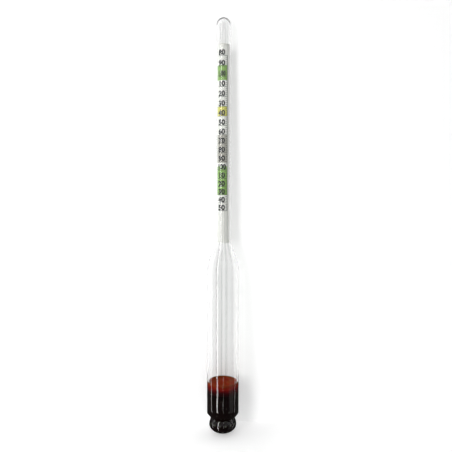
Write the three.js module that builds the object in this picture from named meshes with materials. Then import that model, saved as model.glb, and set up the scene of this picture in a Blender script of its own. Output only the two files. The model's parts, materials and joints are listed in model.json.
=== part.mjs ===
// Hydrometer for brewing and winemaking: a sealed glass float, weighted with steel shot at the
// bottom, with a paper scale rolled inside its narrow stem.
//
// Millimetres, +Z up. The float stands upright with its axis on Z, and the origin is the lowest
// point of the ballast bulb. The front of the scale faces -Y.
//
// The glass is one fused envelope. It is built here as the stretches that the glassblower forms
// one after another, butted end to end, so that the hollow inside stays open to view.

import * as THREE from 'three';

// ---- driving dimensions -------------------------------------------------------------------

const LENGTH = 260;

const STEM_RADIUS = 4.45;
const BODY_RADIUS = 9.9;
const NECK_RADIUS = 7.0;
const BULB_RADIUS = 8.5;
const BULB_HALF_HEIGHT = 5.1;

const STEM_WALL = 0.4;
const BODY_WALL = 0.8;
const TIP_WALL = 0.8;      // glass above the closed end of the bore

const BEVEL_PULL = 1.1;    // how far the base's bevel cuts in from a round corner
const CROWN_PULL = 0.6;    // share of the bulb's crown that stays near full width
const SHOULDER_PULLS = [0.33, 0.6];   // where the drawn curve leaves the body and meets the stem
const NECK_HEIGHT = 9.2;
const BASE_HEIGHT = 12.5;
const SHOULDER_FOOT = 101.8;
const STEM_FOOT = 124.4;
const TIP_FOOT = 243.8;

const PAPER_BOTTOM = 118.7;
const PAPER_TOP = 242.0;
const PAPER_THICKNESS = 0.12;
const PAPER_TURNS = 1.08;
const LAP_GAP = 0.08;      // air between the two layers where the roll overlaps
const BEAD_HEIGHT = 0.45;
const BEAD_WIDTH = 0.9;

const WAX_TOP = 31.0;
const WAX_DEPTH = 5.6;
const WAX_CREEP = 1.2;     // height that the wax draws up the glass

const SHOT_RADIUS = 1.25;

const FIT = 0.05;          // clearance between a filling and the glass around it
const SEGMENTS = 40;       // flats around every turned surface

// ---- materials ----------------------------------------------------------------------------

const finish = (color, roughness, metalness, opacity = 1) =>
  new THREE.MeshStandardMaterial({ color, roughness, metalness, opacity, transparent: opacity < 1 });

const glass = () => finish(0xe6efec, 0.03, 0.0, 0.35);
const paper = () => finish(0xf6f6f0, 0.75, 0.0);
const adhesive = () => finish(0xe9e6d8, 0.3, 0.0, 0.6);
const wax = () => finish(0x7c1a0c, 0.35, 0.0);
const darkWax = () => finish(0x1c0606, 0.3, 0.0);
const steel = () => finish(0x23241f, 0.35, 0.9);

// ---- shapes -------------------------------------------------------------------------------

const at = (radius, height) => new THREE.Vector2(radius, height);
const bend = (from, pull, to, steps) => new THREE.QuadraticBezierCurve(from, pull, to).getPoints(steps);

// A turned solid: its section is walked anticlockwise, seen with the axis on the left.
function turned(name, section, material) {
  const geometry = new THREE.LatheGeometry(section, SEGMENTS);
  geometry.rotateX(Math.PI / 2);
  const mesh = new THREE.Mesh(geometry, material);
  mesh.name = name;
  return mesh;
}

// A turned wall: up the outside and back down the inside, closed on itself.
function turnedWall(name, outside, inside, material) {
  return turned(name, [...outside, ...inside.reverse(), outside[0]], material);
}

// A turned filling: from the axis out, up its side and back to the axis.
function turnedFilling(name, side, material) {
  const bottom = at(0, side[0].y);
  const top = at(0, side.at(-1).y);
  return turned(name, [bottom, ...side, top], material);
}

const inward = (points, wall) => points.map(point => at(point.x - wall, point.y));

// ---- outlines of the glass, from the bottom up --------------------------------------------

// The lower half of the flattened bulb, from its pole out to its widest ring.
function bulbBowl(radius, halfHeight, steps) {
  const points = [];
  for (let step = 0; step <= steps; step++) {
    const angle = (step / steps) * Math.PI / 2;
    points.push(at(radius * Math.sin(angle), BULB_HALF_HEIGHT - halfHeight * Math.cos(angle)));
  }
  return points;
}

// From the widest ring of the bulb up to the waist below the body.
function bulbCrown(radius, waist, steps) {
  const pull = at(radius, BULB_HALF_HEIGHT + CROWN_PULL * (NECK_HEIGHT - BULB_HALF_HEIGHT));
  return bend(at(radius, BULB_HALF_HEIGHT), pull, at(waist, NECK_HEIGHT), steps);
}

// The soft bevel from the waist out to the full width of the body.
function bodyBase(steps) {
  const pull = at(BODY_RADIUS - BEVEL_PULL, 0.5 * (NECK_HEIGHT + BASE_HEIGHT));
  return bend(at(NECK_RADIUS, NECK_HEIGHT), pull, at(BODY_RADIUS, BASE_HEIGHT), steps);
}

// The half-round end of a tube, from its side in to its top.
function dome(radius, top, steps) {
  const points = [];
  for (let step = 0; step <= steps; step++) {
    const angle = (step / steps) * Math.PI / 2;
    points.push(at(radius * Math.cos(angle), top - radius + radius * Math.sin(angle)));
  }
  return points;
}

// The drawn shoulder, tangent to the body below and to the stem above.
function drawnShoulder(steps) {
  const rise = STEM_FOOT - SHOULDER_FOOT;
  const [leave, meet] = SHOULDER_PULLS.map(share => SHOULDER_FOOT + share * rise);
  return new THREE.CubicBezierCurve(
    at(BODY_RADIUS, SHOULDER_FOOT),
    at(BODY_RADIUS, leave),
    at(STEM_RADIUS, meet),
    at(STEM_RADIUS, STEM_FOOT),
  ).getPoints(steps);
}

// ---- the glass envelope -------------------------------------------------------------------

function ballastBulb() {
  const outside = [
    ...bulbBowl(BULB_RADIUS, BULB_HALF_HEIGHT, 7),
    ...bulbCrown(BULB_RADIUS, NECK_RADIUS, 4).slice(1),
  ];
  const inside = [
    ...bulbBowl(BULB_RADIUS - BODY_WALL, BULB_HALF_HEIGHT - BODY_WALL, 7),
    ...bulbCrown(BULB_RADIUS - BODY_WALL, NECK_RADIUS - BODY_WALL, 4).slice(1),
  ];
  return turned('ballast_bulb', [...outside, ...inside.reverse()], glass());
}

function bodyBaseWall() {
  const outside = bodyBase(5);
  return turnedWall('body_base', outside, inward(outside, BODY_WALL), glass());
}

function bodyTube() {
  const outside = [at(BODY_RADIUS, BASE_HEIGHT), at(BODY_RADIUS, SHOULDER_FOOT)];
  return turnedWall('body_tube', outside, inward(outside, BODY_WALL), glass());
}

function shoulder() {
  const outside = drawnShoulder(12);
  const inside = outside.map(point => {
    const drawn = (point.y - SHOULDER_FOOT) / (STEM_FOOT - SHOULDER_FOOT);
    return at(point.x - THREE.MathUtils.lerp(BODY_WALL, STEM_WALL, drawn), point.y);
  });
  return turnedWall('shoulder', outside, inside, glass());
}

function stemTube() {
  const outside = [at(STEM_RADIUS, STEM_FOOT), at(STEM_RADIUS, TIP_FOOT)];
  return turnedWall('stem_tube', outside, inward(outside, STEM_WALL), glass());
}

// The end of the stem, melted shut: a thick dome outside, and a thinner one closing the bore.
function stemTip() {
  const bore = STEM_RADIUS - STEM_WALL;
  const outside = [at(STEM_RADIUS, TIP_FOOT), ...dome(STEM_RADIUS, LENGTH, 6)];
  const inside = [at(bore, TIP_FOOT), ...dome(bore, LENGTH - TIP_WALL, 6)];
  return turned('stem_tip', [...outside, ...inside.reverse(), outside[0]], glass());
}

// ---- the scale ----------------------------------------------------------------------------

// A paper strip rolled a little more than once round, so that its edges overlap at the back.
function scalePaper() {
  const outerRadius = STEM_RADIUS - STEM_WALL - 2 * FIT;
  const pitch = PAPER_THICKNESS + LAP_GAP;
  const steps = Math.round(SEGMENTS * PAPER_TURNS);
  const lap = Math.PI * (PAPER_TURNS - 1);
  const roll = inset => {
    const points = [];
    for (let step = 0; step <= steps; step++) {
      const turn = (step / steps) * PAPER_TURNS;
      const angle = Math.PI / 2 - lap + turn * 2 * Math.PI;
      const radius = outerRadius - inset - turn * pitch;
      points.push(at(radius * Math.cos(angle), radius * Math.sin(angle)));
    }
    return points;
  };
  const section = new THREE.Shape([...roll(0), ...roll(PAPER_THICKNESS).reverse()]);
  const geometry = new THREE.ExtrudeGeometry(section, {
    depth: PAPER_TOP - PAPER_BOTTOM,
    bevelEnabled: false,
  });
  const mesh = new THREE.Mesh(geometry, paper());
  mesh.name = 'scale_paper';
  mesh.position.z = PAPER_BOTTOM;
  return mesh;
}

// The bead of clear adhesive that holds the top edge of the roll in the bore.
function scaleAdhesive() {
  const bore = STEM_RADIUS - STEM_WALL - FIT;
  const foot = PAPER_TOP + FIT;
  const outside = [at(bore, foot), at(bore, foot + BEAD_HEIGHT)];
  const inside = [at(bore - BEAD_WIDTH, foot), at(bore - 0.7 * BEAD_WIDTH, foot + 0.7 * BEAD_HEIGHT)];
  return turnedWall('scale_adhesive', outside, inside, adhesive());
}

// ---- the ballast --------------------------------------------------------------------------

// Loose shot lying against the wall of the bulb, one staggered ring on another.
const SHOT_RINGS = [
  { height: 2.4, radius: 2.75, count: 6 },
  { height: 3.95, radius: 5.8, count: 14 },
  { height: 6.12, radius: 6.05, count: 14 },
  { height: 8.5, radius: 5.1, count: 12 },
];

function shotRings() {
  const balls = [];
  for (const [index, ring] of SHOT_RINGS.entries()) {
    const stagger = 0.5 * (index % 2);
    for (let place = 0; place < ring.count; place++) {
      const angle = ((place + stagger) / ring.count) * 2 * Math.PI;
      const ball = new THREE.Mesh(new THREE.IcosahedronGeometry(SHOT_RADIUS, 1), steel());
      ball.name = `shot_${String(balls.length + 1).padStart(2, '0')}`;
      ball.position.set(ring.radius * Math.cos(angle), ring.radius * Math.sin(angle), ring.height);
      balls.push(ball);
    }
  }
  return balls;
}

// The rest of the shot in the bulb, behind the rings, joined as one filling.
function shotCore() {
  const [floor, lower, , upper] = SHOT_RINGS;
  const lowerRadius = lower.radius - SHOT_RADIUS - FIT;
  const upperRadius = upper.radius - SHOT_RADIUS - FIT;
  const foot = floor.height + SHOT_RADIUS + FIT;
  const step = upper.height - SHOT_RADIUS - FIT;
  const side = [
    at(lowerRadius, foot),
    at(lowerRadius, step - 0.25 * SHOT_RADIUS),
    at(upperRadius, step),
    at(upperRadius, upper.height + SHOT_RADIUS),
  ];
  return turnedFilling('shot_core', side, steel());
}

// The shot above the waist, bound in dark wax up to the clear layer.
function boundShot() {
  const clear = BODY_WALL + FIT;
  const footHeight = SHOT_RINGS.at(-1).height + SHOT_RADIUS + FIT;
  const side = [
    at(NECK_RADIUS - clear, footHeight),
    ...inward(bodyBase(5), clear).filter(point => point.y > footHeight),
    at(BODY_RADIUS - clear, WAX_TOP - WAX_DEPTH - FIT),
  ];
  return turnedFilling('bound_shot', side, darkWax());
}

// The wax poured last, with its edge drawn up the glass.
function sealingWax() {
  const radius = BODY_RADIUS - BODY_WALL - FIT;
  const side = [
    at(radius, WAX_TOP - WAX_DEPTH),
    at(radius, WAX_TOP + WAX_CREEP),
    at(radius - 0.6 * WAX_CREEP, WAX_TOP + 0.3 * WAX_CREEP),
    at(radius - 1.8 * WAX_CREEP, WAX_TOP),
  ];
  return turnedFilling('sealing_wax', side, wax());
}

// ---- the assembly -------------------------------------------------------------------------

const hydrometer = new THREE.Group();
hydrometer.add(
  ballastBulb(),
  bodyBaseWall(),
  bodyTube(),
  shoulder(),
  stemTube(),
  stemTip(),
  scalePaper(),
  scaleAdhesive(),
  sealingWax(),
  boundShot(),
  shotCore(),
  ...shotRings(),
);

export default hydrometer;
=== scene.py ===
"""The hydrometer's looks: clear blown glass, a printed paper scale, red wax and dark steel shot.

Metres, +Z up, in the CAD model's frame. The float's axis is Z, its lowest point is the origin, and
the front of the scale faces -Y. Angles round the axis count from the front towards +X.
"""

import json
import math
import random

import bmesh
import bpy
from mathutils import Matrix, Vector


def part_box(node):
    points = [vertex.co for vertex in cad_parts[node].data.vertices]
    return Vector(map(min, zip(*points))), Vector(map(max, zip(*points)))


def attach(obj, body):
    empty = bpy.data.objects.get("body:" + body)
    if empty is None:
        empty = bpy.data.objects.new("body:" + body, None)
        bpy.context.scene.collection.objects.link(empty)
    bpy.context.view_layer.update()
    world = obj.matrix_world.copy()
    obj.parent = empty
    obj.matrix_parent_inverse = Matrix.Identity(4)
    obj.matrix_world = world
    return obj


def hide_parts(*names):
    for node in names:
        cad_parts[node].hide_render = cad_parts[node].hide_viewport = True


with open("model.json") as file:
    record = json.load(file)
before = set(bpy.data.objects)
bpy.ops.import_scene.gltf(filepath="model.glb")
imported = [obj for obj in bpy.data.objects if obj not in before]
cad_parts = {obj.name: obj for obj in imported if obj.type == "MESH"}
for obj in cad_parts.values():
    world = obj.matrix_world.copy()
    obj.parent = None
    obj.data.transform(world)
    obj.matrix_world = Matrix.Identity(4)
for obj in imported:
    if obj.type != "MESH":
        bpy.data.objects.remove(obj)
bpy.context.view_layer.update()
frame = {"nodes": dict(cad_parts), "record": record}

MM = 0.001
NEAR = 0.01 * MM                 # places closer together than this count as the same
AROUND = 128                     # flats round a turned surface


# ---- measures of the frame ----------------------------------------------------------------

def heights(node):
    """The lowest and the highest height of a CAD node."""
    return [corner.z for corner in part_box(node)]


def heights_on_axis(node):
    """The same, counting only the vertices of a turned CAD node that lie on the axis."""
    vertices = frame["nodes"][node].data.vertices
    found = [v.co.z for v in vertices if v.co.xy.length < NEAR]
    return min(found), max(found)


def widest_height(node):
    """The height at which a turned CAD node is widest."""
    vertices = frame["nodes"][node].data.vertices
    return max(vertices, key=lambda v: v.co.xy.length).co.z


def ring(node, height):
    """The inner and outer radius of a turned CAD node at one of its heights."""
    vertices = frame["nodes"][node].data.vertices
    radii = [v.co.xy.length for v in vertices if abs(v.co.z - height) < NEAR]
    return min(radii), max(radii)


neck_height = heights("ballast_bulb")[1]
base_height = heights("body_base")[1]
shoulder_foot = heights("shoulder")[0]
stem_foot = heights("stem_tube")[0]
tip_foot, length = heights("stem_tip")
bore_top = heights_on_axis("stem_tip")[0]
bulb_height = widest_height("ballast_bulb")
bulb_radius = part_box("ballast_bulb")[1].x
neck_radius = ring("ballast_bulb", neck_height)[1]
body_bore, body_radius = ring("body_tube", base_height)
stem_bore, stem_radius = ring("stem_tube", stem_foot)
paper_low, paper_high = heights("scale_paper")
wax_low, wax_high = heights("sealing_wax")
wax_plane = heights_on_axis("sealing_wax")[1]
bound_low, bound_high = heights("bound_shot")
shot_names = sorted(name for name in frame["nodes"] if name.startswith("shot_") and name != "shot_core")
shot_low, shot_high = heights(shot_names[0])
shot_radius = 0.5 * (shot_high - shot_low)
float_line = next(m for m in frame["record"]["mounts"] if m["name"] == "float_line")["pos_m"][2]
mass = frame["record"]["physics"]["mass_kg"]

body_wall = body_radius - body_bore
stem_wall = stem_radius - stem_bore
WETTING = 0.03 * MM              # how far wax that wets the glass reaches into it


# ---- making meshes ------------------------------------------------------------------------

def add(name, mesh, material, replaces=()):
    """Puts a finished mesh into the scene as a piece that rides on the float."""
    piece = bpy.data.objects.new(name, mesh)
    bpy.context.scene.collection.objects.link(piece)
    mesh.materials.append(material)
    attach(piece, "root")
    if replaces:
        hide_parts(*replaces)
    return piece


def turned(name, *outlines):
    """A smooth mesh turned about Z from outlines of (radius, height), each with its solid on its left.

    An outline runs from pole to pole, or ends where it began.
    """
    vertices = []
    faces = []
    for outline in outlines:
        rings = []
        for radius, height in outline:
            first = len(vertices)
            if radius < NEAR:
                vertices.append((0, 0, height))
                rings.append([first] * AROUND)
                continue
            for step in range(AROUND):
                angle = step / AROUND * math.tau
                vertices.append((radius * math.cos(angle), radius * math.sin(angle), height))
            rings.append(list(range(first, first + AROUND)))
        for low, high in zip(rings, rings[1:]):
            for step in range(AROUND):
                after = (step + 1) % AROUND
                corners = (low[step], low[after], high[after], high[step])
                faces.append(list(dict.fromkeys(corners)))
    mesh = bpy.data.meshes.new(name)
    mesh.from_pydata(vertices, [], faces)
    mesh.shade_smooth()
    return mesh


def mesh_from(shape, name):
    """Turns a finished bmesh into a mesh."""
    mesh = bpy.data.meshes.new(name)
    shape.to_mesh(mesh)
    shape.free()
    return mesh


def bezier(points, steps, start=0.0, end=1.0):
    """Points along a Bezier curve of any degree, from one share of it to another."""
    found = []
    for step in range(steps + 1):
        share = start + (end - start) * step / steps
        layer = [Vector(p) for p in points]
        while len(layer) > 1:
            layer = [a.lerp(b, share) for a, b in zip(layer, layer[1:])]
        found.append(tuple(layer[0]))
    return found


def quarter(steps):
    """Even angles from 0 up to a right angle, without the right angle itself."""
    return [step / steps * math.pi / 2 for step in range(steps)]


def up_a_tube(radius, low, high):
    """Points up a plain tube's wall, without its two ends."""
    steps = 24
    return [(radius, low + (high - low) * step / steps) for step in range(1, steps)]


# ---- node materials -----------------------------------------------------------------------

def linear(red, green, blue):
    """An sRGB colour from 0 to 255, as Blender's linear colour."""
    def channel(value):
        share = value / 255
        return share / 12.92 if share <= 0.04045 else ((share + 0.055) / 1.055) ** 2.4
    return channel(red), channel(green), channel(blue), 1.0


def grey(share):
    """A linear grey, from 0, black, to 1, white."""
    return share, share, share, 1.0


class Nodes:
    """A short way to write the node tree of a new material or world."""

    def __init__(self, owner, output):
        self.owner = owner
        owner.use_nodes = True
        self.tree = owner.node_tree
        self.tree.nodes.clear()
        self.output = self.put(output)

    def put(self, kind, **inputs):
        """A node of this kind, its inputs set to values or linked to sockets."""
        node = self.tree.nodes.new("ShaderNode" + kind)
        for name, value in inputs.items():
            self.set(node.inputs[name.replace("_", " ")], value)
        return node

    def set(self, socket, value):
        if isinstance(value, bpy.types.NodeSocket):
            self.tree.links.new(value, socket)
        else:
            socket.default_value = value

    def math(self, operation, *values):
        node = self.tree.nodes.new("ShaderNodeMath")
        node.operation = operation
        for socket, value in zip(node.inputs, values):
            self.set(socket, value)
        return node.outputs[0]

    def away(self, value, target):
        """How far a value is from its target, to either side."""
        return self.math("ABSOLUTE", self.math("SUBTRACT", value, target))

    def near(self, value, target, reach):
        """1 where a value meets its target, falling to 0 where it is this far away from it."""
        fallen = self.math("DIVIDE", self.away(value, target), reach)
        return self.math("MAXIMUM", self.math("SUBTRACT", 1.0, fallen), 0.0)

    def mix(self, factor, first, second):
        """A mix of two colours."""
        node = self.tree.nodes.new("ShaderNodeMix")
        node.data_type = "RGBA"
        self.set(node.inputs["Factor"], factor)
        self.set(node.inputs[6], first)
        self.set(node.inputs[7], second)
        return node.outputs[2]

    def mix_shaders(self, factor, first, second):
        node = self.put("MixShader", Fac=factor)
        self.set(node.inputs[1], first.outputs[0])
        self.set(node.inputs[2], second.outputs[0])
        return node

    def place(self):
        """The point's coordinates in the float's frame."""
        return self.put("SeparateXYZ", Vector=self.put("TexCoord").outputs["Object"]).outputs

    def angle(self):
        """Where the point lies round the float's axis, counted from the front."""
        place = self.place()
        return self.math("ARCTAN2", place["X"], self.math("MULTIPLY", place["Y"], -1.0))

    def noise(self, size, detail=3.0):
        """Noise whose lumps measure about size across."""
        place = self.put("TexCoord").outputs["Object"]
        return self.put("TexNoise", Vector=place, Scale=1 / size, Detail=detail).outputs["Fac"]

    def ramp(self, factor, stops):
        """A colour ramp through (position, colour) stops."""
        node = self.put("ValToRGB", Fac=factor)
        band = node.color_ramp
        while len(band.elements) < len(stops):
            band.elements.new(0.5)
        for element, (position, colour) in zip(band.elements, stops):
            element.position = position
            element.color = colour
        return node.outputs["Color"]

    def between(self, factor, low, high):
        """A value that goes from low to high as the factor goes from 0 to 1."""
        return self.math("ADD", low, self.math("MULTIPLY", factor, high - low))

    def bump(self, height, distance):
        return self.put("Bump", Height=height, Distance=distance, Strength=1.0).outputs["Normal"]

    def finish(self, surface, volume=None):
        self.set(self.output.inputs["Surface"], surface.outputs[0])
        if volume is not None:
            self.set(self.output.inputs["Volume"], volume.outputs[0])
        return self.owner


def material_nodes(name):
    return Nodes(bpy.data.materials.new(name), "OutputMaterial")


# Dark streaks along the glass: degrees round it, half width in degrees, and strength. The four across the
# front, from -22 to 36 degrees, are painted shade for shadow lines on the backdrop seen through the glass;
# the three behind are cords that drawing the tube leaves.
CORDS_AND_SHADE_LINES = [
    (-22, 4, 1.0),
    (-5, 4, 0.8),
    (11, 4, 0.9),
    (36, 14, 0.35),
    (104, 5, 0.8),
    (163, 4, 0.5),
    (208, 5, 0.7),
]
CORD_AND_SHADE_TINT = 0.79                 # what the strongest cord or painted shade line lets through
SHOULDER_DARKENING = 1.5             # painted shade: how much darker the streaks get round the top of the shoulder
DARKENING_HEIGHT = stem_foot - 8 * MM
DARKENING_REACH = 9 * MM


def glass_material():
    """Clear soda-lime glass, faintly green through its thickness.

    Its shadow is weaker than real glass would cast, and darkest where the surface turns away.
    """
    nodes = material_nodes("glass")
    waves = nodes.noise(12 * MM, detail=0.0)
    turn = nodes.math("WRAP", nodes.angle(), math.radians(270), math.radians(-90))
    cover = 0.0
    # Painted shade: the streaks across the front darken the glass where shadow lines would be seen through
    # it.
    for middle, half_width, strength in CORDS_AND_SHADE_LINES:
        streak = nodes.near(turn, math.radians(middle), math.radians(half_width))
        cover = nodes.math("ADD", cover, nodes.math("MULTIPLY", streak, strength))
    # Painted shade: all the streaks darken more round the top of the shoulder.
    darkening = nodes.near(nodes.place()["Z"], DARKENING_HEIGHT, DARKENING_REACH)
    cover = nodes.math("MULTIPLY", cover, nodes.between(darkening, 1.0, 1.0 + SHOULDER_DARKENING))
    clear = nodes.put(
        "BsdfPrincipled",
        Base_Color=nodes.mix(cover, grey(1.0), grey(CORD_AND_SHADE_TINT)),
        Roughness=0.0,
        IOR=1.5,
        Transmission_Weight=1.0,
        Normal=nodes.bump(waves, 0.004 * MM),
    )
    edge = nodes.math("POWER", nodes.put("LayerWeight", Blend=0.5).outputs["Facing"], 3.0)
    through = nodes.put("BsdfTransparent", Color=nodes.mix(edge, (0.96, 0.965, 0.96, 1), (0.3, 0.31, 0.3, 1)))
    path = nodes.put("LightPath").outputs
    unseen = nodes.math("MAXIMUM", path["Is Shadow Ray"], path["Is Diffuse Ray"])
    depth = nodes.put("VolumeAbsorption", Color=(0.9, 0.912, 0.908, 1), Density=100.0)
    return nodes.finish(nodes.mix_shaders(unseen, clear, through), depth)


# ---- the glass envelope -------------------------------------------------------------------

CROWN_PULL = 0.6                 # how far up the bulb's crown is pulled outward, as a share of its rise
BEVEL_PULL = 1.1 * MM            # how far inside the body's radius the bevel's curve is pulled
WAIST_SOFTNESS = 0.1             # share of the crown and of the bevel that the waist rounds off
SHOULDER_PULLS = (0.33, 0.6)     # heights of the shoulder's two pull points, as shares of its rise


def bulb_and_base(inset):
    """The outline of the bulb and the bevel above it, from the pole up, at a depth inside the glass."""
    radius = bulb_radius - inset
    half_height = bulb_height - inset
    waist = (neck_radius - inset, neck_height)
    crown = [(radius, bulb_height), (radius, bulb_height + CROWN_PULL * (neck_height - bulb_height)), waist]
    bevel_pull = (body_radius - inset - BEVEL_PULL, 0.5 * (neck_height + base_height))
    bevel = [waist, bevel_pull, (body_radius - inset, base_height)]
    bowl = [(radius * math.sin(angle), bulb_height - half_height * math.cos(angle)) for angle in quarter(24)]
    crown_line = bezier(crown, 12, end=1 - WAIST_SOFTNESS)
    bevel_line = bezier(bevel, 12, start=WAIST_SOFTNESS)
    waist_line = bezier([crown_line[-1], waist, bevel_line[0]], 6)
    return bowl + crown_line + waist_line[1:-1] + bevel_line


def body_to_stem(wall_below, wall_above):
    """The outline of the body, the drawn shoulder and the stem, at a depth inside the glass."""
    rise = stem_foot - shoulder_foot
    drawn = bezier([
        (body_radius, shoulder_foot),
        (body_radius, shoulder_foot + SHOULDER_PULLS[0] * rise),
        (stem_radius, shoulder_foot + SHOULDER_PULLS[1] * rise),
        (stem_radius, stem_foot),
    ], 48)
    outline = up_a_tube(body_radius - wall_below, base_height, shoulder_foot)
    for radius, height in drawn:
        share = (height - shoulder_foot) / rise
        outline.append((radius - wall_below - (wall_above - wall_below) * share, height))
    return outline + up_a_tube(stem_radius - wall_above, stem_foot, tip_foot)


def rounded_end(radius, top):
    """The outline of a tube's half-round end, from the foot of the tip to the pole."""
    dome = [(radius * math.cos(angle), top - radius + radius * math.sin(angle)) for angle in quarter(16)]
    return [(radius, tip_foot)] + dome + [(0.0, top)]


def glass_envelope():
    """One piece of blown glass: its outer skin, and the skin of the hollow inside it."""
    outside = bulb_and_base(0.0) + body_to_stem(0.0, 0.0) + rounded_end(stem_radius, length)
    tube_bore = body_to_stem(body_wall, stem_wall)
    inside = bulb_and_base(body_wall) + tube_bore + rounded_end(stem_bore, bore_top)
    mesh = turned("glass_envelope", outside, inside[::-1])
    glass_nodes = ("ballast_bulb", "body_base", "body_tube", "shoulder", "stem_tube", "stem_tip")
    add("glass_envelope", mesh, glass_material(), glass_nodes)


# ---- the paper scale ----------------------------------------------------------------------

PAPER_THICKNESS = 0.12 * MM
PAPER_CLEARANCE = 0.03 * MM      # between the roll and the bore
PAPER_OVERLAP = math.radians(29)
PAPER_EDGE = math.radians(160)   # where the outer end of the roll shows
LAP_GAP = 0.06 * MM              # between the two ends where they lap
paper_radius = stem_bore - PAPER_CLEARANCE

COLUMN_WIDTH = math.radians(96)
COLUMN_CENTRES = [math.radians(angle) for angle in (-13, 107, 227)]

GREEN = linear(134, 182, 78)
YELLOW = linear(216, 212, 92)
GREY = linear(176, 174, 164)
# The bands printed on the first column: from one specific gravity to another, and the ink.
COLOUR_BANDS = [
    (0.989, 1.0035, GREEN),
    (1.030, 1.040, YELLOW),
    (1.060, 1.0915, GREY),
    (1.0955, 1.130, GREEN),
]

WATER_DENSITY = 1000             # kilograms in a cubic metre


def height_of(gravity):
    """Where the liquid's surface meets the stem, in liquid of this specific gravity."""
    submerged_length = mass / WATER_DENSITY / (math.pi * stem_radius ** 2)
    return float_line - submerged_length * (1 - 1 / gravity)


def on_roll(angle, height, radius):
    return radius * math.sin(angle), -radius * math.cos(angle), height


def paper_material():
    """White uncoated paper with the printed colour bands of the first column."""
    nodes = material_nodes("scale_paper")
    height = nodes.place()["Z"]
    fibres = nodes.noise(0.25 * MM, detail=4.0)
    cloud = nodes.noise(3 * MM)
    colour = nodes.mix(fibres, linear(240, 240, 235), linear(252, 252, 249))
    colour = nodes.mix(nodes.math("MULTIPLY", cloud, 0.25), colour, linear(240, 238, 228))
    from_centre = nodes.away(nodes.angle(), COLUMN_CENTRES[0])
    in_column = nodes.math("LESS_THAN", from_centre, 0.5 * COLUMN_WIDTH)
    cover = nodes.between(fibres, 0.88, 1.0)
    for low, high, ink in COLOUR_BANDS:
        top = height_of(low)
        bottom = height_of(high)
        from_middle = nodes.away(height, 0.5 * (top + bottom))
        in_band = nodes.math("LESS_THAN", from_middle, 0.5 * (top - bottom))
        inked = nodes.math("MULTIPLY", nodes.math("MULTIPLY", in_column, in_band), cover)
        colour = nodes.mix(inked, colour, ink)
    surface = nodes.put(
        "BsdfPrincipled",
        Base_Color=colour,
        Roughness=nodes.between(fibres, 0.55, 0.75),
        Normal=nodes.bump(fibres, 0.01 * MM),
    )
    return nodes.finish(surface)


def ink_material():
    """Black printing ink, a little uneven where it soaked into the paper."""
    nodes = material_nodes("scale_ink")
    soak = nodes.noise(0.15 * MM)
    surface = nodes.put(
        "BsdfPrincipled",
        Base_Color=nodes.mix(soak, linear(22, 22, 24), linear(58, 58, 60)),
        Roughness=nodes.between(soak, 0.45, 0.65),
    )
    return nodes.finish(surface)


def scale_paper():
    """The strip rolled a little more than once round, its inner end tucked under its outer end."""
    turns = math.tau + PAPER_OVERLAP
    lap_start = math.tau - PAPER_OVERLAP
    full_tuck = PAPER_THICKNESS + LAP_GAP
    steps = 160
    section = []
    for depth, order in ((0.0, range(steps + 1)), (PAPER_THICKNESS, range(steps, -1, -1))):
        for step in order:
            along = step / steps * turns
            tuck = full_tuck * min(1.0, max(0.0, (along - lap_start) / PAPER_OVERLAP))
            section.append((PAPER_EDGE + along, paper_radius - tuck - depth))
    rows = 60
    vertices = []
    for row in range(rows + 1):
        height = paper_low + (paper_high - paper_low) * row / rows
        vertices += [on_roll(angle, height, radius) for angle, radius in section]
    count = len(section)
    faces = []
    for row in range(rows):
        for point in range(count):
            after = (point + 1) % count
            low = row * count
            faces.append((low + point, low + after, low + count + after, low + count + point))
    for row, flip in ((0, True), (rows, False)):
        for point in range(steps):
            corners = [point, point + 1, count - 2 - point, count - 1 - point]
            corners = [row * count + corner for corner in corners]
            faces.append(corners[::-1] if flip else corners)
    mesh = bpy.data.meshes.new("rolled_scale")
    mesh.from_pydata(vertices, [], faces)
    mesh.shade_smooth()
    mesh.set_sharp_from_angle(angle=math.radians(40))
    add("rolled_scale", mesh, paper_material(), ["scale_paper"])


# ---- the print on the paper ---------------------------------------------------------------

INK_THICKNESS = 0.015 * MM
FINE_LINE = 0.25 * MM
UPRIGHT_OVERSHOOT = 0.1 * MM     # how far a column's upright runs past its first and last line
LONG_LINE_GAP = math.radians(10)     # how far a labelled line stays clear of the column's left edge
SHORT_LINE = math.radians(16)    # how long the other lines are
LABEL_SHIFT = math.radians(3)    # how far the numbers stand left of the column's middle
LABEL_GAP = 0.5 * MM             # between a labelled line and the number above it
DIGIT_HEIGHT = 3.3 * MM
DIGIT_PITCH = 2.05 * MM
DIGIT_WEIGHT = 0.055             # how much the digits are thickened, as a share of the type's size
WIDEST_LABEL = 2.6               # how many pitches a number takes up at most
SLICE = math.radians(3)          # how finely the flat print is cut before it is bent

GRAVITY_ENDS = (980, 1150)       # specific gravity, in thousandths
HIGHEST_ALCOHOL = 20             # per cent by volume
HIGHEST_SUGAR = 34               # per cent by weight
ALCOHOL_PER_GRAVITY = 131.25     # per cent of alcohol that fermenting one unit of gravity would give
SUGAR_SCALE = 259                # the brewers' rule: the gravity is 259 / (259 - sugar)


def wrapped(flat, material, name):
    """Bends a flat print, drawn as (arc length, height), round the roll, and makes it an ink film."""
    print_radius = paper_radius + 0.5 * INK_THICKNESS
    low = min(v.co.x for v in flat.verts)
    high = max(v.co.x for v in flat.verts)
    cut = low + SLICE * print_radius
    while cut < high:
        geometry = flat.verts[:] + flat.edges[:] + flat.faces[:]
        bmesh.ops.bisect_plane(flat, geom=geometry, plane_co=(cut, 0, 0), plane_no=(1, 0, 0))
        cut += SLICE * print_radius
    for vertex in flat.verts:
        vertex.co = on_roll(vertex.co.x / print_radius, vertex.co.y, print_radius)
    piece = add(name, mesh_from(flat, name), material)
    film = piece.modifiers.new("film", "SOLIDIFY")
    film.thickness = INK_THICKNESS
    film.offset = 0.0


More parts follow.
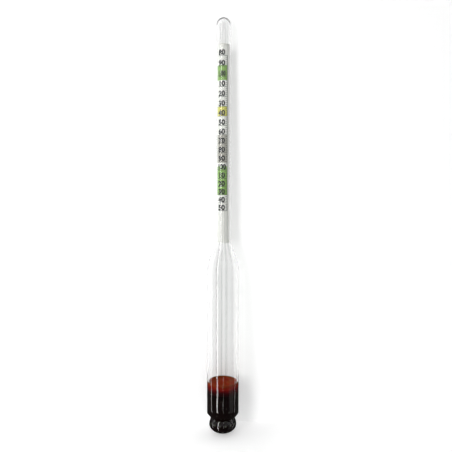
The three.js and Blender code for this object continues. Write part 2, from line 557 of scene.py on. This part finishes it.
def column_scales():
    """Each column's fine and labelled graduations, as (height, label), with None for the fine ones."""
    gravity = []
    for thousandth in range(GRAVITY_ENDS[0], GRAVITY_ENDS[1] + 1, 2):
        label = None
        if thousandth % 10 == 0:
            label = "1.000" if thousandth == 1000 else str(thousandth % 100 or 100)
        gravity.append((height_of(thousandth / 1000), label))
    alcohol = []
    for half_percent in range(2 * HIGHEST_ALCOHOL + 1):
        label = str(half_percent // 2) if half_percent % 4 == 0 else None
        alcohol.append((height_of(1 + half_percent / 2 / ALCOHOL_PER_GRAVITY), label))
    sugar = []
    for percent in range(HIGHEST_SUGAR + 1):
        label = str(percent) if percent % 5 == 0 else None
        sugar.append((height_of(SUGAR_SCALE / (SUGAR_SCALE - percent)), label))
    return [gravity, alcohol, sugar]


def graduations(material):
    """The lines of all three columns."""
    flat = bmesh.new()

    def line(left, right, low, high):
        corners = [(left, low, 0), (right, low, 0), (right, high, 0), (left, high, 0)]
        flat.faces.new([flat.verts.new(corner) for corner in corners])

    half = 0.5 * FINE_LINE
    for centre, scale in zip(COLUMN_CENTRES, column_scales()):
        left = centre - 0.5 * COLUMN_WIDTH
        right = centre + 0.5 * COLUMN_WIDTH
        end = right * paper_radius
        for height, label in scale:
            start = left + LONG_LINE_GAP if label else right - SHORT_LINE
            line(start * paper_radius, end, height - half, height + half)
        marked = [height for height, label in scale]
        line(end - half, end + half, min(marked) - UPRIGHT_OVERSHOOT, max(marked) + UPRIGHT_OVERSHOOT)
    wrapped(flat, material, "scale_graduations")


def digits_mesh(text):
    """The flat outline of a number in the program's own plain typeface, centred."""
    curve = bpy.data.curves.new("digits", "FONT")
    curve.body = text
    curve.offset = DIGIT_WEIGHT
    curve.resolution_u = 3
    curve.align_x = "CENTER"
    letters = bpy.data.objects.new("digits", curve)
    mesh = bpy.data.meshes.new_from_object(letters)
    bpy.data.objects.remove(letters)
    return mesh


def numbers(material):
    """The number above each labelled graduation."""
    flat = bmesh.new()
    zero = digits_mesh("0").vertices
    tall = max(v.co.y for v in zero)
    half_pitch = max(v.co.x for v in digits_mesh("00").vertices) - max(v.co.x for v in zero)
    for centre, scale in zip(COLUMN_CENTRES, column_scales()):
        middle = (centre - LABEL_SHIFT) * paper_radius
        for height, label in scale:
            if label is None:
                continue
            mesh = digits_mesh(label)
            narrowed = min(1.0, WIDEST_LABEL / len(label))
            for vertex in mesh.vertices:
                vertex.co.x = middle + vertex.co.x / half_pitch * 0.5 * DIGIT_PITCH * narrowed
                vertex.co.y = height + LABEL_GAP + vertex.co.y / tall * DIGIT_HEIGHT
            flat.from_mesh(mesh)
    wrapped(flat, material, "scale_numbers")


# ---- the adhesive, the wax and the shot -----------------------------------------------------

BEAD_REACH = 0.9 * MM            # how far the bead of adhesive stands in from the bore
MENISCUS_WIDTH = 1.8             # of the wax's edge, as a share of how high it climbs the glass
MENISCUS_PULL = 0.15             # how far from the glass its curve is pulled, as a share of the same
SWELL_HEIGHT = 0.04 * MM         # of each of the shallow waves in the wax's top
SWELL_CLEARANCE = 0.4 * MM       # between the waves and the glass
OUT_OF_ROUND = 0.03              # by which share a ball may be flattened
BULB_BITE = 0.2 * MM             # how far the bulb's balls reach into the glass, to be seen there
BODY_BITE = 0.07 * MM            # the same for the balls above the waist
CORE_RING = 2.6 * MM             # the radius of a ring of balls in the middle of the bulb
CORE_LAYER = 2.1 * MM            # from one layer of those balls to the next
RING_SPACING = 2.05              # from ball to ball in a ring above the waist, in radii of a ball
RING_RISE = 2.2 * MM             # from one of those rings to the next
RING_JITTER = 0.2 * MM           # how far a ball may lie above or below its ring


def adhesive_material():
    """Clear adhesive, slightly cloudy."""
    nodes = material_nodes("adhesive")
    cloud = nodes.noise(0.6 * MM)
    surface = nodes.put(
        "BsdfPrincipled",
        Base_Color=nodes.mix(cloud, linear(232, 230, 220), linear(246, 245, 240)),
        Roughness=nodes.between(cloud, 0.12, 0.27),
        Coat_Weight=0.4,
    )
    return nodes.finish(surface)


def adhesive_bead():
    """The bead that runs round the bore and holds the roll's top edge."""
    low, high = heights("scale_adhesive")
    bead_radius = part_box("scale_adhesive")[1].x
    outline = []
    for step in range(24):
        angle = step / 24 * math.tau
        radius = bead_radius - 0.5 * BEAD_REACH + 0.5 * BEAD_REACH * math.cos(angle)
        outline.append((radius, 0.5 * (low + high) + 0.5 * (high - low) * math.sin(angle)))
    closed = bmesh.new()
    closed.from_mesh(turned("open_bead", outline + outline[:1]))
    bmesh.ops.remove_doubles(closed, verts=closed.verts, dist=NEAR)
    mesh = mesh_from(closed, "adhesive_bead")
    add("adhesive_bead", mesh, adhesive_material(), ["scale_adhesive"])


def wax_material():
    """Red-brown wax with amber patches, red at the top and near black lower down: painted light and shade for
    light that enters its top and dies away inside it.
    """
    nodes = material_nodes("sealing_wax")
    cloud = nodes.noise(2.5 * MM)
    grain = nodes.noise(0.4 * MM)
    wander = nodes.math("MULTIPLY", nodes.math("SUBTRACT", cloud, 0.5), 3 * MM)
    depth = nodes.math("SUBTRACT", wax_high, nodes.math("ADD", nodes.place()["Z"], wander))
    share = nodes.math("DIVIDE", depth, 8 * MM)
    # Painted light and shade: the wax is lit red at its top and darkens to near black with depth below it.
    colour = nodes.ramp(share, [
        (0.0, linear(176, 76, 38)),
        (0.15, linear(156, 46, 20)),
        (0.3, linear(138, 28, 14)),
        (0.45, linear(84, 6, 8)),
        (0.65, linear(38, 4, 6)),
        (1.0, linear(12, 3, 3)),
    ])
    near_top = nodes.math("SUBTRACT", 1.0, nodes.math("MULTIPLY", share, 4.0))
    near_top = nodes.math("MAXIMUM", near_top, 0.0)
    patches = nodes.ramp(nodes.noise(3 * MM), [(0.45, grey(0.0)), (0.6, grey(1.0))])
    colour = nodes.mix(nodes.math("MULTIPLY", near_top, patches), colour, linear(112, 72, 22))
    colour = nodes.mix(nodes.math("MULTIPLY", grain, 0.25), colour, linear(40, 8, 5))
    surface = nodes.put(
        "BsdfPrincipled",
        Base_Color=colour,
        Roughness=nodes.between(grain, 0.4, 0.6),
        Specular_IOR_Level=0.0,
        Normal=nodes.bump(grain, 0.03 * MM),
    )
    return nodes.finish(surface)


def sealing_wax():
    """The wax plug: its edge climbs the glass, and its top is a little uneven, as it set."""
    creep = wax_high - wax_plane
    contact = body_bore + WETTING
    flat = contact - MENISCUS_WIDTH * creep
    pull = (contact - MENISCUS_PULL * creep, wax_plane)
    edge = bezier([(contact, wax_high), pull, (flat, wax_plane)], 10)
    top = [(flat - flat * step / 14, wax_plane) for step in range(1, 15)]
    outline = [(0.0, wax_low), (contact, wax_low)] + edge + top
    mesh = turned("wax_plug", outline)
    sway = random.Random(4)
    swells = []
    for _ in range(6):
        swells.append((sway.uniform(0, math.tau), sway.uniform(150, 420), sway.uniform(0, math.tau)))
    for vertex in mesh.vertices:
        if vertex.co.z > wax_plane - NEAR and vertex.co.xy.length < contact - SWELL_CLEARANCE:
            lift = 0.0
            for heading, pace, phase in swells:
                along = vertex.co.x * math.cos(heading) + vertex.co.y * math.sin(heading)
                lift += math.sin(along * pace + phase)
            vertex.co.z += SWELL_HEIGHT * lift
    add("wax_plug", mesh, wax_material(), ["sealing_wax"])


def bound_material():
    """Near-black wax between the balls."""
    nodes = material_nodes("bound_shot")
    cloud = nodes.noise(1.5 * MM)
    grain = nodes.noise(0.3 * MM)
    surface = nodes.put(
        "BsdfPrincipled",
        Base_Color=nodes.mix(cloud, linear(6, 2, 2), linear(18, 7, 6)),
        Roughness=nodes.between(grain, 0.25, 0.55),
        Specular_IOR_Level=0.0,
        Normal=nodes.bump(grain, 0.04 * MM),
    )
    return nodes.finish(surface)


def binding_wax():
    """The dark wax that binds the shot and wets the glass, in the bulb and above the waist."""
    wetted = bulb_and_base(body_wall - WETTING)
    below = [point for point in wetted if point[1] < bound_low]
    above = [point for point in wetted if point[1] >= bound_low]
    material = bound_material()
    bulb_filling = turned("bulb_binder", below + [(below[-1][0], bound_low), (0.0, bound_low)])
    add("bulb_binder", bulb_filling, material)
    foot = [(0.0, bound_low), (above[0][0] - WETTING, bound_low)]
    top = [(body_bore + WETTING, wax_low), (0.0, wax_low)]
    mesh = turned("bound_ballast", foot + above + top)
    add("bound_ballast", mesh, material, ["bound_shot"])


def shot_material():
    """Dark blued steel with a greenish oxide skin."""
    nodes = material_nodes("shot")
    stain = nodes.noise(0.7 * MM)
    grain = nodes.noise(0.12 * MM)
    surface = nodes.put(
        "BsdfPrincipled",
        Base_Color=nodes.mix(stain, linear(52, 54, 46), linear(100, 102, 90)),
        Metallic=0.85,
        Roughness=nodes.between(grain, 0.22, 0.47),
        Normal=nodes.bump(grain, 0.01 * MM),
    )
    return nodes.finish(surface)


def ball(shape, centre, draw, fineness):
    """Adds one ball to a bmesh, slightly out of round, as cast shot is."""
    made = bmesh.ops.create_icosphere(shape, subdivisions=fineness, radius=shot_radius)
    squeeze = Vector([1 - draw.uniform(0, OUT_OF_ROUND) for _ in range(3)])
    for vertex in made["verts"]:
        vertex.co = vertex.co * squeeze + centre


def pressed_outward(centre):
    """Where a ball of the bulb lies once it is pushed outward, a little way into the glass."""
    here = Vector((centre.xy.length, centre.z))
    wall = [Vector(point) for point in bulb_and_base(body_wall)]
    nearest = min(wall, key=lambda point: (point - here).length)
    gap = (nearest - here).length - shot_radius
    push = (gap + BULB_BITE) * (nearest - here).normalized()
    around = centre.xy.normalized()
    return centre + Vector((around.x * push.x, around.y * push.x, push.y))


def loose_shot(material):
    """The balls in the bulb: the ones against the glass, and the ones that fill the middle."""
    draw = random.Random(11)
    shape = bmesh.new()
    for name in shot_names:
        low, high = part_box(name)
        ball(shape, pressed_outward((low + high) / 2), draw, 3)
    low, high = heights("shot_core")
    layer = low + 0.2 * MM
    while layer < high:
        ball(shape, Vector((0, 0, layer)), draw, 2)
        for place in range(6):
            # Each layer is turned by its height in millimetres, so that no two lie alike.
            angle = place / 6 * math.tau + layer / MM
            centre = Vector((CORE_RING * math.cos(angle), CORE_RING * math.sin(angle), layer))
            ball(shape, centre, draw, 2)
        layer += CORE_LAYER
    mesh = mesh_from(shape, "loose_shot")
    mesh.shade_smooth()
    add("loose_shot", mesh, material, shot_names + ["shot_core"])


def bound_balls(material):
    """The balls that lie against the glass above the waist, in staggered rings."""
    draw = random.Random(23)
    reach = body_bore - shot_radius + BODY_BITE
    count = int(math.tau * reach / (RING_SPACING * shot_radius))
    shape = bmesh.new()
    height = base_height + 1.0 * MM
    highest = bound_high - 1.2 * MM
    stagger = 0.0
    while height < highest:
        for place in range(count):
            angle = (place + stagger) / count * math.tau + draw.uniform(-0.02, 0.02)
            lift = draw.uniform(-RING_JITTER, RING_JITTER)
            centre = Vector((reach * math.cos(angle), reach * math.sin(angle), height + lift))
            ball(shape, centre, draw, 3)
        stagger = 0.5 - stagger
        height += RING_RISE
    mesh = mesh_from(shape, "bound_balls")
    mesh.shade_smooth()
    add("bound_balls", mesh, material)


# ---- the studio ---------------------------------------------------------------------------

CAMERA_DISTANCE = 277 * MM
CAMERA_HEIGHT = 129.2 * MM
CAMERA_SIDE = 1.75 * MM
CAMERA_ROLL = 0.13               # degrees; it makes the float lean to the right in the picture
CAMERA_LENS = 35.1               # millimetres, for a sensor 36 mm wide

LIGHT_DISTANCE = 0.8
LIGHT_HEIGHT = 1.2
# Upright lights round the float: name, azimuth in degrees from the front towards +X, width, power,
# and whether the light is only mirrored in things or only lights them.
LIGHTS = [
    ("key_strip", -40, 0.15, 5.0, "mirrored"),
    ("left_strip", -90, 0.12, 1.4, "mirrored"),
    ("front_strip", 3, 0.05, 0.5, "mirrored"),
    ("right_strip", 97, 0.12, 0.6, "mirrored"),
    ("right_haze", 64, 0.5, 0.5, "mirrored"),
    ("key", -32, 0.22, 5.2, "lighting"),
    ("side", -75, 0.3, 2.5, "lighting"),
]

# The strength of the white world, by what sees it.
FILL = 0.26                      # what it lights
LOW_SKY = 0.05                   # what mirrors it, level with the float and below
HIGH_SKY = 0.4                   # what mirrors it, well above
SKY_RISE = 4.0                   # how fast the mirrored sky brightens with height

FLOOR_REACH = 0.9                # metres, to the front and to either side
FLOOR_GLOW = 0.35
BACKDROP_HALF = 1.5              # metres: half its width, and its whole height
BACKDROP_GAP = 5 * MM            # between the float's body and the backdrop's foot
BACKDROP_LEAN = 2.2              # degrees, forward at the top, so that it stays close to the stem
BACKDROP_GLOW = 0.27


def camera():
    """A level camera in front of the float."""
    data = bpy.data.cameras.new("camera")
    data.sensor_width = 36.0
    data.lens = CAMERA_LENS
    eye = bpy.data.objects.new("camera", data)
    eye.location = (CAMERA_SIDE, -CAMERA_DISTANCE, CAMERA_HEIGHT)
    eye.rotation_euler = (math.radians(90), math.radians(-CAMERA_ROLL), 0)
    bpy.context.scene.collection.objects.link(eye)
    bpy.context.scene.camera = eye


def soft_light(name, azimuth, width, power, purpose):
    """An upright light that faces the float, and isn't seen directly or through the glass."""
    data = bpy.data.lights.new(name, "AREA")
    data.shape = "RECTANGLE"
    data.size = width
    data.size_y = LIGHT_HEIGHT
    data.energy = power
    lamp = bpy.data.objects.new(name, data)
    around = math.radians(azimuth)
    target = Vector((0, 0, length / 2))
    back = Vector((math.sin(around), -math.cos(around), 0))
    lamp.location = target + LIGHT_DISTANCE * back
    lamp.rotation_mode = "QUATERNION"
    lamp.rotation_quaternion = back.to_track_quat("Z", "Y")
    lamp.visible_camera = False
    lamp.visible_transmission = False
    lamp.visible_glossy = purpose == "mirrored"
    lamp.visible_diffuse = purpose == "lighting"
    bpy.context.scene.collection.objects.link(lamp)


def white_world():
    """White behind everything, and a quieter white for what it lights and what mirrors it."""
    nodes = Nodes(bpy.data.worlds.new("studio"), "OutputWorld")
    path = nodes.put("LightPath").outputs
    bounces = nodes.math("ADD", path["Glossy Depth"], path["Diffuse Depth"])
    through_glass = nodes.math("MULTIPLY", path["Is Transmission Ray"], nodes.math("LESS_THAN", bounces, 0.5))
    seen = nodes.math("MAXIMUM", path["Is Camera Ray"], through_glass)
    mirrored = nodes.math("SUBTRACT", nodes.math("MAXIMUM", path["Is Glossy Ray"], seen), seen)
    heading = nodes.put("SeparateXYZ", Vector=nodes.put("TexCoord").outputs["Generated"]).outputs
    upward = nodes.math("MAXIMUM", nodes.math("MULTIPLY", heading["Z"], SKY_RISE), 0.0)
    sky = nodes.between(nodes.math("MINIMUM", upward, 1.0), LOW_SKY, HIGH_SKY)
    change = nodes.math("MULTIPLY", mirrored, nodes.math("SUBTRACT", sky, FILL))
    strength = nodes.math("ADD", nodes.between(seen, FILL, 1.0), change)
    bpy.context.scene.world = nodes.finish(nodes.put("Background", Color=grey(1.0), Strength=strength))


def stage_material(name, one_sided, glow):
    """Matt white card, lit a little from behind."""
    nodes = material_nodes(name)
    mottle = nodes.noise(40 * MM)
    card = nodes.put(
        "BsdfPrincipled",
        Base_Color=nodes.mix(mottle, grey(0.86), grey(0.89)),
        Roughness=0.9,
        Emission_Color=grey(1.0),
        Emission_Strength=glow,
    )
    if not one_sided:
        return nodes.finish(card)
    behind = nodes.put("NewGeometry").outputs["Backfacing"]
    return nodes.finish(nodes.mix_shaders(behind, card, nodes.put("BsdfTransparent")))


def sheet_of_card(name, corners, material, mirrored, seen_through_glass):
    mesh = bpy.data.meshes.new(name)
    mesh.from_pydata(corners, [], [(0, 1, 2, 3)])
    mesh.materials.append(material)
    card = bpy.data.objects.new(name, mesh)
    bpy.context.scene.collection.objects.link(card)
    card.visible_glossy = mirrored
    card.visible_transmission = seen_through_glass


def studio():
    """A pale floor, and a backdrop close behind the float, which mirrors only what is above its wax."""
    foot = body_radius + BACKDROP_GAP
    top = foot - BACKDROP_HALF * math.tan(math.radians(BACKDROP_LEAN))
    left, right = -FLOOR_REACH, FLOOR_REACH
    floor = [(left, -FLOOR_REACH, 0), (right, -FLOOR_REACH, 0), (right, foot, 0), (left, foot, 0)]
    floor_card = stage_material("floor", False, FLOOR_GLOW)
    sheet_of_card("floor", floor, floor_card, mirrored=False, seen_through_glass=False)
    card = stage_material("backdrop", True, BACKDROP_GLOW)
    left, right = -BACKDROP_HALF, BACKDROP_HALF
    for name, low, high in (("backdrop_foot", 0.0, wax_plane), ("backdrop", wax_plane, BACKDROP_HALF)):
        front = foot + (top - foot) * low / BACKDROP_HALF
        back = foot + (top - foot) * high / BACKDROP_HALF
        wall = [(left, front, low), (right, front, low), (right, back, high), (left, back, high)]
        sheet_of_card(name, wall, card, mirrored=name == "backdrop", seen_through_glass=True)
    for light in LIGHTS:
        soft_light(*light)
    white_world()
    bpy.context.scene.view_settings.view_transform = "Standard"
    bpy.context.scene.cycles.caustics_reflective = False
    bpy.context.scene.cycles.caustics_refractive = False


camera()
glass_envelope()
scale_paper()
ink = ink_material()
graduations(ink)
numbers(ink)
adhesive_bead()
sealing_wax()
binding_wax()
steel = shot_material()
loose_shot(steel)
bound_balls(steel)
studio()
